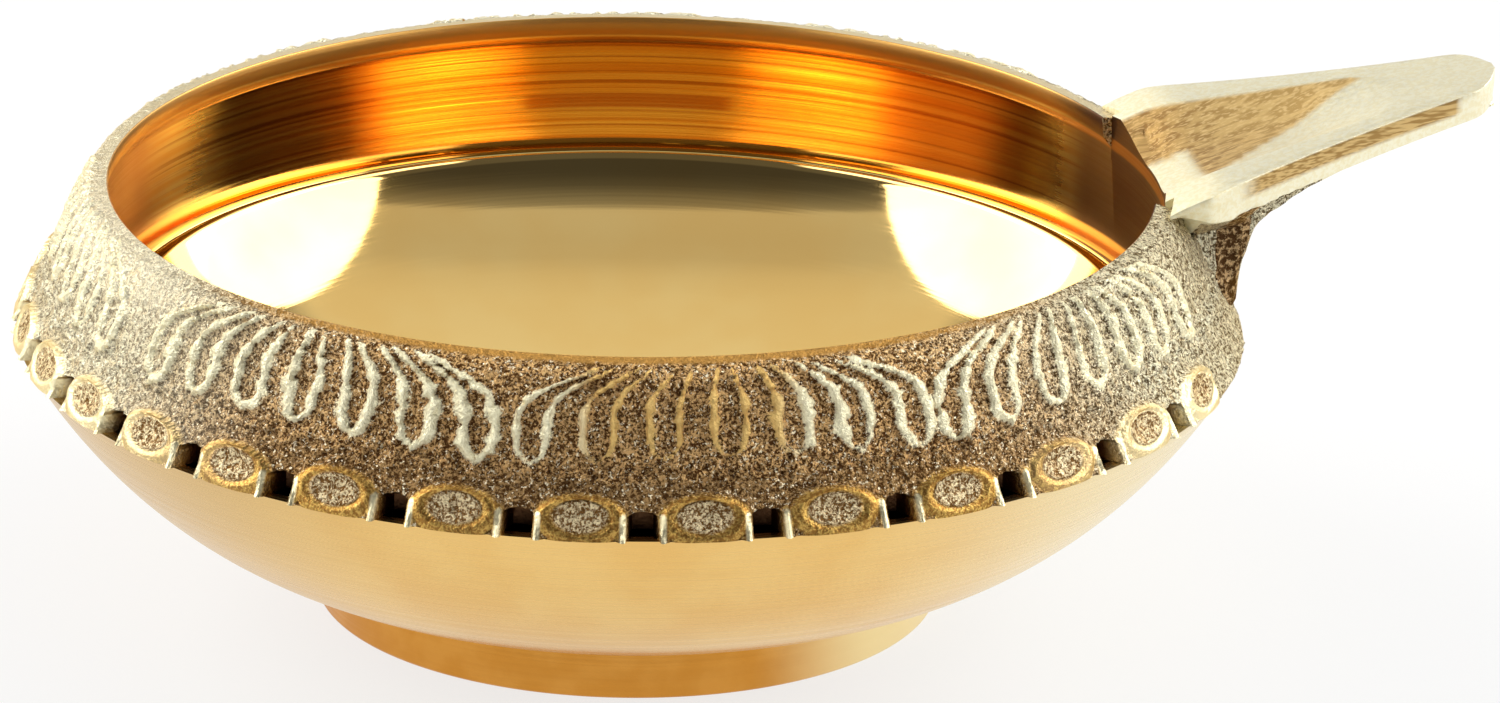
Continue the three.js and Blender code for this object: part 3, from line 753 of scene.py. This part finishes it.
def spout_outline(s):
    """One side of a section across the spout, from the middle of the trough round to the keel."""
    top, half = land_height(s), half_width(s)
    low = float(np.interp(s, keel_s, keel_z))
    full = eased(clamped((s - spout_root + 3) / 5))
    edge = top - edge_height * between(0.22, 1, full)
    lower = edge - skirt_height * full * (1 - 0.25 * along_spout(s))
    gusset = clamped((lower - low - 1.5) / 4)
    flank = between(0.6 * half, gusset_half, gusset)
    inner = trough_half(s)
    side = [(0.0, top - trough(s, 0))]
    side += [(share * inner, top - trough(s, share)) for share in reversed(trough_shares)]
    side += [(between(inner, half - 0.15, t), top) for t in (0.1, 0.35, 0.65, 1.0)]
    side += [(half - 0.04, top - 0.05), (half, top - 0.16)]
    side += [(half, between(top - 0.16, edge, t)) for t in (0.33, 0.66, 0.95)]
    side += [(half - 0.06, edge - 0.06)]
    side += [(between(half - 0.08, half - 0.3, t), between(edge - 0.1, lower, t)) for t in (0.3, 0.65, 1)]
    clear = eased(clamped((s - 35.3) / 1.5))
    upper_corner = between(lower - 0.1, between(lower, low, 0.3), clear)
    lower_corner = between(notch_floor, between(lower, low, 0.7), clear)
    corners = [(half - 0.3, lower),
               (between(notch_half, flank, clear), upper_corner),
               (between(notch_half, flank * 0.92, clear), lower_corner),
               (0.8 + 3.6 * gusset, low), (0.0, low)]
    for (n0, z0), (n1, z1) in zip(corners, corners[1:]):
        side += [(between(n0, n1, t), between(z0, z1, t)) for t in (0.2, 0.4, 0.6, 0.8, 1.0)]
    return side


def spout_section(s):
    side = spout_outline(s)
    return side + [(-n, z) for n, z in side[-2:0:-1]]


stations = [33.0, 34.0, 34.6, 35.2, 35.8, 36.4]
while stations[-1] < nose_start:
    stations.append(stations[-1] + station_step)
nose_shares = (0, 0.12, 0.24, 0.36, 0.48, 0.58, 0.68, 0.77, 0.85, 0.92, 0.97, 1)
stations = stations[:-1] + [nose_start + nose_length * share for share in nose_shares]

first = spout_section(stations[0])
bpy.ops.object.select_all(action="DESELECT")
bpy.ops.mesh.primitive_circle_add(
    vertices=len(first), radius=5 * mm, fill_type="NOTHING",
    location=((axis_x + stations[0]) * mm, 0, 25 * mm))
spout = bpy.context.object
spout.name = "spout_filed"
bpy.ops.object.transform_apply(location=True, rotation=True, scale=True)
bpy.ops.object.mode_set(mode="EDIT")
bpy.ops.mesh.select_mode(type="VERT")
bpy.ops.mesh.select_all(action="SELECT")
made = bmesh.from_edit_mesh(spout.data)
made.verts.ensure_lookup_table()
ring = list(made.verts)
for vert, (n, z) in zip(ring, first):
    vert.co = Vector(((axis_x + stations[0]) * mm, n * mm, z * mm))
bmesh.update_edit_mesh(spout.data)
first_ring = [vert.index for vert in ring]
for before, s in zip(stations, stations[1:]):
    bpy.ops.mesh.extrude_edges_move(TRANSFORM_OT_translate={"value": ((s - before) * mm, 0, 0)})
    made = bmesh.from_edit_mesh(spout.data)
    made.verts.ensure_lookup_table()
    old = [made.verts[i] for i in first_ring]
    ring = [next(e.other_vert(v) for e in v.link_edges if e.other_vert(v).select) for v in old]
    for vert, (n, z) in zip(ring, spout_section(s)):
        vert.co = Vector(((axis_x + s) * mm, n * mm, z * mm))
    made.verts.index_update()
    first_ring = [vert.index for vert in ring]
    bmesh.update_edit_mesh(spout.data)
bpy.ops.mesh.select_all(action="SELECT")
bpy.ops.mesh.select_non_manifold(extend=False, use_boundary=True, use_wire=False, use_multi_face=False,
                                 use_non_contiguous=False, use_verts=False)
bpy.ops.mesh.fill_holes(sides=0)
bpy.ops.mesh.select_all(action="SELECT")
bpy.ops.mesh.remove_doubles(threshold=0.001 * mm)
bpy.ops.mesh.normals_make_consistent(inside=False)
if bmesh.from_edit_mesh(spout.data).calc_volume(signed=True) < 0:
    bpy.ops.mesh.flip_normals()
bpy.ops.object.mode_set(mode="OBJECT")

# The gusset's rough skin, and the fillet where the spout grows out of the collar
for vert in spout.data.vertices:
    s, n, z = vert.co.x / mm - axis_x, vert.co.y / mm, vert.co.z / mm
    below = land_height(s) - z
    if below < 0.3 or s < spout_root - 1:
        continue
    out = math.hypot(s, n) - float(flare_radius(clamped(z, joint_height, rim_height)))
    side = clamped(abs(n) / 1.5) * (1 if n > 0 else -1)
    if out < fillet_reach:
        near_collar = 1 - clamped(out, 0, fillet_reach) / fillet_reach
        n += side * fillet * near_collar ** 2 * clamped((below - 0.3) / 0.8)
    rough = clamped((below - 1.6) / 0.8) * clamped((47.5 - s) / 3)
    spot = Vector((s, n, z))
    shake = 0.16 * noise.fractal(spot * 1.2, 1.0, 2.0, 2) + 0.10 * noise.fractal(spot * 2.9, 1.0, 2.0, 2)
    n += rough * shake * side
    s += rough * shake * 0.7
    vert.co = Vector(((axis_x + s) * mm, n * mm, z * mm))

# The tongue ends at the turned wall, and the wings on both sides of the notch stop at the collar
cut_away(spout, turn_on_lathe("bore_cutter", [
    (0, 15), (bore + wing_gap, 15), (bore + wing_gap, notch_floor), (bore - tongue_gap, notch_floor),
    (bore - 0.5, 45), (0, 45)], columns))
for side in (-1, 1):
    wing_end = bore + wing_gap
    wedge = turn_on_lathe("wedge_cutter", [(0, 15), (wing_end, 15), (wing_end, 45), (0, 45)], 288)
    bpy.ops.object.mode_set(mode="EDIT")
    bpy.ops.mesh.select_all(action="SELECT")
    bpy.ops.mesh.bisect(plane_co=(0, side * notch_half * mm, 0), plane_no=(0, side, 0),
                        clear_inner=True, use_fill=True)
    bpy.ops.object.mode_set(mode="OBJECT")
    cut_away(spout, wedge)
smooth_faces(spout, 35)

# Where the file left the trough dull, and where the upright edge below the land is painted brown
scraped, browned = [], []
for vert in spout.data.vertices:
    s, n, z = vert.co.x / mm - axis_x, vert.co.y / mm, vert.co.z / mm
    below = land_height(s) - z
    beyond = n - (3.9 - 0.117 * max(0, 52.9 - s) ** 1.6)
    inside = trough_half(s) - abs(n)
    hollow = clamped(inside / 0.25) * clamped(beyond / 0.5 + 0.5) * (1 if s < trough_end else 0)
    scraped.append(hollow * (1 - clamped((38.9 - s) / 0.5) * clamped((2.4 - n) / 0.4)))
    upright = clamped((below - 0.08) / 0.08) * clamped((1.25 - below) / 0.1) * clamped((s - 39.5) / 1.5)
    browned.append(upright * clamped((56.0 - s) / 0.3) * clamped((abs(n) - half_width(s) + 0.3) / 0.1))
for name, values in (("scraped", scraped), ("browned", browned)):
    layer = spout.data.attributes.new(name, "FLOAT", "POINT")
    layer.data.foreach_set("value", values)

filed_pale = (0.96, 0.88, 0.60, 1)
filed_bright = (1.0, 0.95, 0.72, 1)
trough_dark = (0.60, 0.39, 0.14, 1)
trough_gold = (0.80, 0.56, 0.23, 1)
mouth_dark = (0.44, 0.26, 0.09, 1)
mouth_gold = (0.66, 0.44, 0.17, 1)
streak_gold = (0.88, 0.66, 0.32, 1)
edge_dark = (0.40, 0.24, 0.08, 1)
edge_gold = (0.74, 0.52, 0.22, 1)
gusset_shadow_pit = (0.085, 0.040, 0.015, 1)
gusset_shadow_gold = (0.66, 0.46, 0.24, 1)

filed = Finish("spout_filed_brass")
scraped_at, browned_at = filed.painted("scraped"), filed.painted("browned")
aslant = filed.add("ShaderNodeMapping")
aslant.inputs["Rotation"].default_value = (0, 0, math.radians(file_slant))
filed.link(filed.place, aslant.inputs["Vector"])
streaks = filed.grain(filed.stretched(aslant.outputs["Vector"], (0.05, 6.0, 6.0)), 1.0, 1)
long_streaks = filed.grain(filed.stretched(aslant.outputs["Vector"], (0.03, 2.0, 2.0)), 1.0, 1)
specks = filed.grain(filed.place, 3.0, 2, 0.6)
bright = filed.blend(filed.span(specks, 0.40, 0.60), filed_pale, filed_bright)
streaky = filed.span(long_streaks, 0.38, 0.60)
dull = filed.blend(streaky, trough_dark, trough_gold)
dull = filed.blend(filed.span(filed.x, 44.0, 37.5), dull, filed.blend(streaky, mouth_dark, mouth_gold))
dull = filed.blend(filed.times(filed.span(streaks, 0.48, 0.66), 0.7), dull, streak_gold)
brown_upright_edge = filed.blend(filed.span(streaks, 0.36, 0.62), edge_dark, edge_gold)
filed.colour(filed.blend(browned_at, filed.blend(scraped_at, bright, dull), brown_upright_edge))
blunt = filed.plus(filed.times(scraped_at, 0.08), filed.span(filed.x, 40.0, 37.0, 0.0, 0.2))
filed.roughness(filed.plus(filed.span(streaks, 0.3, 0.7, 0.36, 0.50), blunt))
filed.bumps((long_streaks, 0.08, 0.12), (streaks, 0.18, 0.05), (specks, 0.10, 0.05))

# Painted shadow: a dark sand finish for the gusset's flanks, which lie in the spout's shadow.
dark = Finish("gusset_flank_in_painted_shadow")
dark.shader.inputs["Specular Tint"].default_value = cast_tint
dark.shader.inputs["Roughness"].default_value = 0.5
dark_sand = dark.grain(dark.place, 2.6, 3, 0.7)
dark.colour(dark.blend(dark.span(dark_sand, 0.46, 0.62), gusset_shadow_pit, gusset_shadow_gold))
dark.bumps((dark_sand, 0.9, 0.35))

for finish in (filed, cast, wall, dark):
    spout.data.materials.append(finish.material)
for face in spout.data.polygons:
    s, n, z = face.center.x / mm - axis_x, face.center.y / mm, face.center.z / mm
    below = land_height(s) - z
    outwards = (s * face.normal.x + n * face.normal.y) / math.hypot(s, n)
    if math.hypot(s, n) < bore + 0.2 and outwards < -0.7 and abs(n) < notch_half:
        face.material_index = 2
    # The gusset's flanks get the painted shadow finish.
    elif below > 2.3 and 39.0 < s < 41.4 and abs(face.normal.y) > 0.45 and abs(n) > 3:
        face.material_index = 3
    elif below > 2.5 - 0.5 * along_spout(s) and s < 46.5 and s > spout_root:
        face.material_index = 1
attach(spout, "root")
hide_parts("spout")


# Floor: a plain white sheet under the lamp, seen as the white background, that keeps a soft shadow.

bpy.ops.object.select_all(action="DESELECT")
bpy.ops.mesh.primitive_plane_add(size=6, location=(0, 0, 0))
floor = bpy.context.object
floor.name = "floor"
paper = bpy.data.materials.new("white_paper")
paper.use_nodes = True
tree = paper.node_tree
tree.nodes.clear()
seen = tree.nodes.new("ShaderNodeLightPath")
either = tree.nodes.new("ShaderNodeMath")
either.operation = "MAXIMUM"
whiteness = tree.nodes.new("ShaderNodeMath")
whiteness.operation = "MULTIPLY"
whiteness.inputs[1].default_value = 0.75
matt = tree.nodes.new("ShaderNodeBsdfDiffuse")
matt.inputs["Color"].default_value = (0.86, 0.86, 0.86, 1)
white = tree.nodes.new("ShaderNodeEmission")
mixed = tree.nodes.new("ShaderNodeMixShader")
output = tree.nodes.new("ShaderNodeOutputMaterial")
tree.links.new(seen.outputs["Is Camera Ray"], either.inputs[0])
tree.links.new(seen.outputs["Is Glossy Ray"], either.inputs[1])
tree.links.new(either.outputs[0], whiteness.inputs[0])
tree.links.new(whiteness.outputs[0], mixed.inputs[0])
tree.links.new(matt.outputs[0], mixed.inputs[1])
tree.links.new(white.outputs[0], mixed.inputs[2])
tree.links.new(mixed.outputs[0], output.inputs["Surface"])
floor.data.materials.append(paper)


# Light: two oval softboxes, left and right of the lamp and above it, in a studio with a pale ceiling and
# dark walls. Two low strips, one on each side, light the bowl's flanks. The backdrop is white.

world = bpy.data.worlds.new("studio")
bpy.context.scene.world = world
world.use_nodes = True
tree = world.node_tree
tree.nodes.clear()
studio_turn = math.radians(8.7)
wall_front = 0.14
wall_back = 0.33
strip_level = 3.6
ceiling_reach = 0.6


def world_node(kind, **settings):
    node = tree.nodes.new(kind)
    for key, value in settings.items():
        setattr(node, key, value)
    return node


def ramp(source, low, high):
    node = world_node("ShaderNodeMapRange", interpolation_type="SMOOTHSTEP")
    node.inputs["From Min"].default_value = low
    node.inputs["From Max"].default_value = high
    tree.links.new(source, node.inputs["Value"])
    return node.outputs["Result"]


def times(first, second):
    node = world_node("ShaderNodeMath", operation="MULTIPLY")
    tree.links.new(first, node.inputs[0])
    tree.links.new(second, node.inputs[1])
    return node.outputs[0]


def shade(factor, below, above):
    node = world_node("ShaderNodeMix", data_type="FLOAT")
    tree.links.new(factor, node.inputs[0])
    for socket, value in ((node.inputs[2], below), (node.inputs[3], above)):
        if isinstance(value, float):
            socket.default_value = value
        else:
            tree.links.new(value, socket)
    return node.outputs[0]


direction = world_node("ShaderNodeTexCoord").outputs["Generated"]


def toward(axis):
    """How far a direction points along this axis, as a cosine."""
    node = world_node("ShaderNodeVectorMath", operation="DOT_PRODUCT")
    tree.links.new(direction, node.inputs[0])
    node.inputs[1].default_value = axis
    return node.outputs["Value"]


# The ceiling is dark in front, grey overhead and pale at the back, and its dark part has a curved edge
to_back = toward((math.sin(studio_turn), math.cos(studio_turn), 0))
to_side = toward((math.cos(studio_turn), -math.sin(studio_turn), 0))
upwards = toward((0, 0, 1))
bowed = world_node("ShaderNodeMath", operation="MULTIPLY_ADD")
tree.links.new(times(to_side, to_side), bowed.inputs[0])
bowed.inputs[1].default_value = -0.5
tree.links.new(to_back, bowed.inputs[2])
across_ceiling = world_node("ShaderNodeMapRange")
across_ceiling.inputs["From Min"].default_value = -ceiling_reach
across_ceiling.inputs["From Max"].default_value = ceiling_reach
tree.links.new(bowed.outputs[0], across_ceiling.inputs["Value"])
ceiling = world_node("ShaderNodeValToRGB")
tree.links.new(across_ceiling.outputs["Result"], ceiling.inputs["Fac"])
tones = [(-0.50, 0.07), (-0.43, 0.11), (-0.37, 0.22), (-0.315, 0.36), (-0.295, 0.70), (-0.12, 0.68),
         (-0.02, 0.70), (0.08, 0.84), (0.20, 0.92), (0.45, 0.98)]
marks = ceiling.color_ramp.elements
marks.remove(marks[1])
for number, (where, tone) in enumerate(tones):
    mark = marks[0] if number == 0 else marks.new((where + ceiling_reach) / (2 * ceiling_reach))
    mark.position = (where + ceiling_reach) / (2 * ceiling_reach)
    mark.color = (tone, tone, tone, 1)
walls = shade(ramp(to_back, -0.1, 0.25), wall_front, wall_back)
level = shade(ramp(upwards, 0.62, 0.72), walls, ceiling.outputs["Color"])
low_down = times(ramp(upwards, 0.60, 0.48), ramp(to_back, -0.1, 0.3))
level = shade(low_down, level, 1.0)
either_side = world_node("ShaderNodeMath", operation="ABSOLUTE")
tree.links.new(to_side, either_side.inputs[0])
strip_height = times(ramp(upwards, 0.23, 0.27), ramp(upwards, 0.46, 0.42))
level = shade(times(ramp(either_side.outputs[0], 0.56, 0.64), strip_height), level, strip_level)
seen = world_node("ShaderNodeLightPath")
level = shade(seen.outputs["Is Camera Ray"], level, 1.0)
sky = world_node("ShaderNodeBackground")
tree.links.new(level, sky.inputs["Strength"])
out = world_node("ShaderNodeOutputWorld")
tree.links.new(sky.outputs[0], out.inputs["Surface"])

lamp_middle = Vector((axis_x * mm, 0, 15 * mm))
softbox_away = 0.47
softbox_rise = 36


def seen_from(turn, rise):
    """The way to a place that is turned from +Y towards +X, and raised, by these angles in degrees."""
    turn, rise = math.radians(turn), math.radians(rise)
    return Vector((math.sin(turn) * math.cos(rise), math.cos(turn) * math.cos(rise), math.sin(rise)))


for name, turn in (("softbox_left", -68), ("softbox_right", 86)):
    bpy.ops.object.light_add(type="AREA", location=(0, 0, 0))
    softbox = bpy.context.object
    softbox.name = name
    softbox.data.shape = "ELLIPSE"
    softbox.data.size = 0.52
    softbox.data.size_y = 0.305
    softbox.data.energy = 1.45
    softbox.visible_camera = False
    away = seen_from(turn, softbox_rise)
    softbox.location = lamp_middle + away * softbox_away
    softbox.rotation_mode = "QUATERNION"
    softbox.rotation_quaternion = away.to_track_quat("Z", "Y")


# Camera: a long lens, 20 degrees above the lamp and a little to the left of square on.

camera_turn = 180 + 8.7
camera_rise = 20
camera_away = 0.65
camera_roll = 0.757

back = seen_from(camera_turn, camera_rise)
roll = Quaternion((0, 0, 1), math.radians(camera_roll))
bpy.ops.object.camera_add()
camera = bpy.context.object
camera.location = lamp_middle + back * camera_away
camera.rotation_mode = "QUATERNION"
camera.rotation_quaternion = (-back).to_track_quat("-Z", "Y") @ roll
camera.data.lens = 229.7
camera.data.sensor_width = 36
camera.data.shift_x = 0.0805
camera.data.shift_y = 0.0176
camera.data.clip_start = 0.01
camera.data.clip_end = 20
bpy.context.scene.camera = camera
bpy.context.scene.view_settings.view_transform = "Standard"
